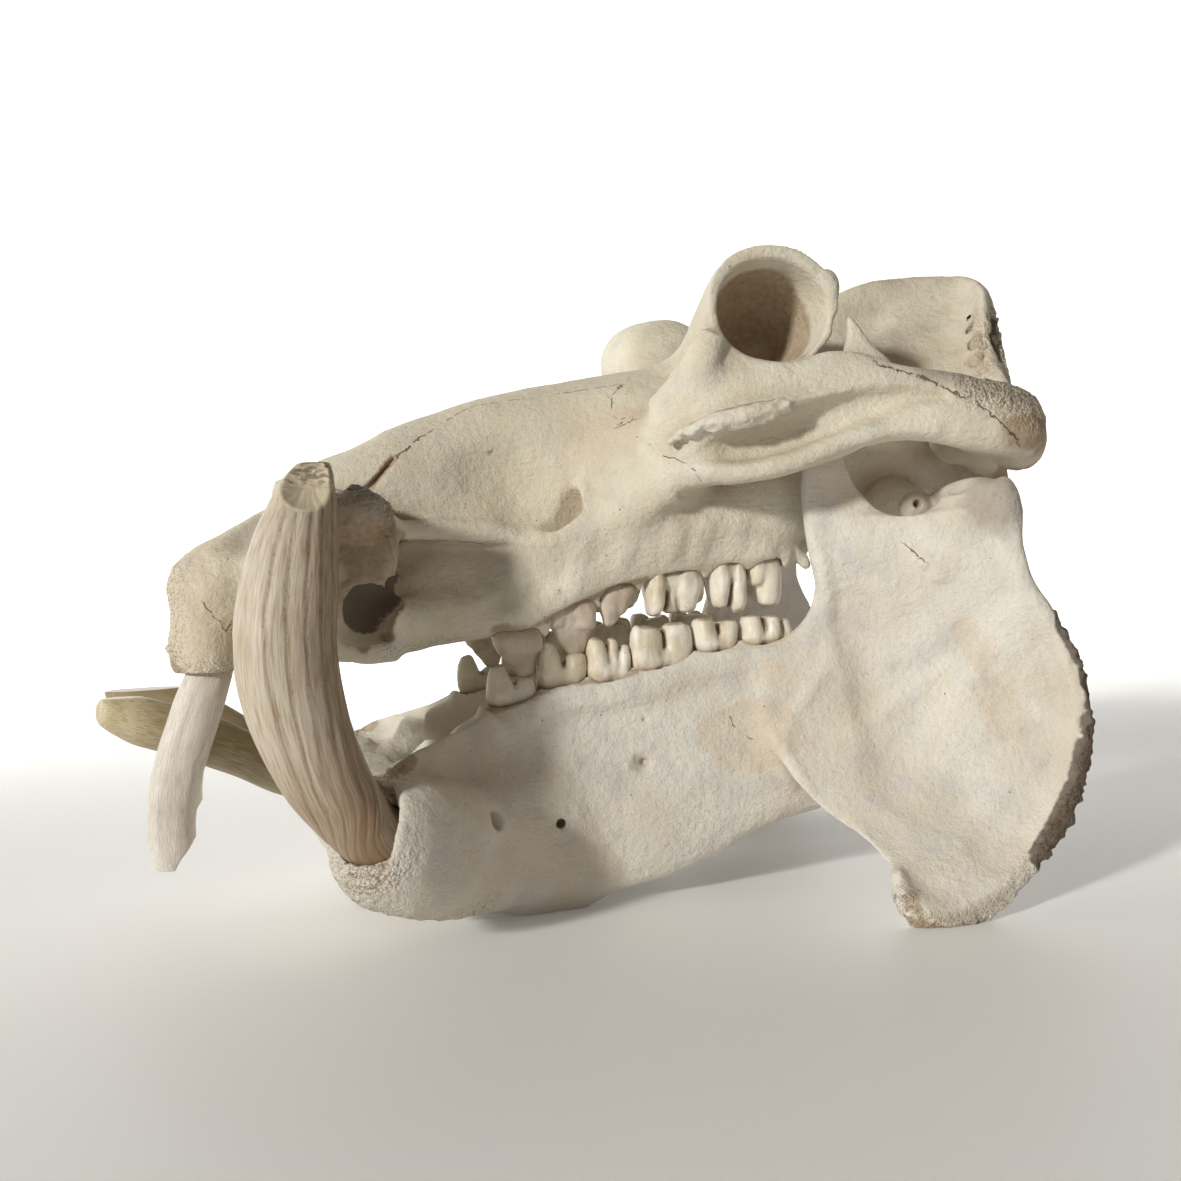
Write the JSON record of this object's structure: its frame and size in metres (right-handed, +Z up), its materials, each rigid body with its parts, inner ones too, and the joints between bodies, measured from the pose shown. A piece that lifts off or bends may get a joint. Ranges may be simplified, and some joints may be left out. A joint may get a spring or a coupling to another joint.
{
  "type": "hippo skull",
  "caption": "Dry hippo skull, the cranium resting on the lower jaw, with curved ridged tusks, long front teeth and separate cheek teeth.",
  "frame": {"origin": "middle of the base of the bounding box, on the floor under the skull", "axes": "-X towards the muzzle, +X towards the back of the head, -Y the skull's left side, +Y its right side, +Z up"},
  "size_m": [0.7339, 0.432, 0.4921],
  "materials": {
    "cranium_bone": "dry matte bone, cream to tan",
    "mandible_bone": "dry matte bone, bluish white to cream",
    "ridged_ivory": "satin ivory with brown lengthwise grooves",
    "yellow_ivory": "semi-gloss yellowish ivory",
    "pale_ivory": "satin pale ivory with fine lengthwise lines",
    "cheek_teeth": "worn enamel, cream with brown grooves"
  },
  "bodies": {
    "root": {"cranium": "cranium_bone", "mandible": "mandible_bone", "left_lower_tusk": "ridged_ivory", "left_lower_incisor": "yellow_ivory", "left_upper_incisor": "pale_ivory", "left_upper_premolar_2": "cheek_teeth", "left_upper_premolar_3": "cheek_teeth", "left_upper_premolar_4": "cheek_teeth", "left_upper_molar_1": "cheek_teeth", "left_upper_molar_2": "cheek_teeth", "left_upper_molar_3": "cheek_teeth", "left_lower_premolar_2": "cheek_teeth", "left_lower_premolar_3": "cheek_teeth", "left_lower_premolar_4": "cheek_teeth", "left_lower_molar_1": "cheek_teeth", "left_lower_molar_2": "cheek_teeth", "left_lower_molar_3": "cheek_teeth", "right_lower_tusk": "ridged_ivory", "right_lower_incisor": "yellow_ivory", "right_upper_incisor": "pale_ivory", "right_upper_premolar_2": "cheek_teeth", "right_upper_premolar_3": "cheek_teeth", "right_upper_premolar_4": "cheek_teeth", "right_upper_molar_1": "cheek_teeth", "right_upper_molar_2": "cheek_teeth", "right_upper_molar_3": "cheek_teeth", "right_lower_premolar_2": "cheek_teeth", "right_lower_premolar_3": "cheek_teeth", "right_lower_premolar_4": "cheek_teeth", "right_lower_molar_1": "cheek_teeth", "right_lower_molar_2": "cheek_teeth", "right_lower_molar_3": "cheek_teeth"}
  },
  "joints": []
}
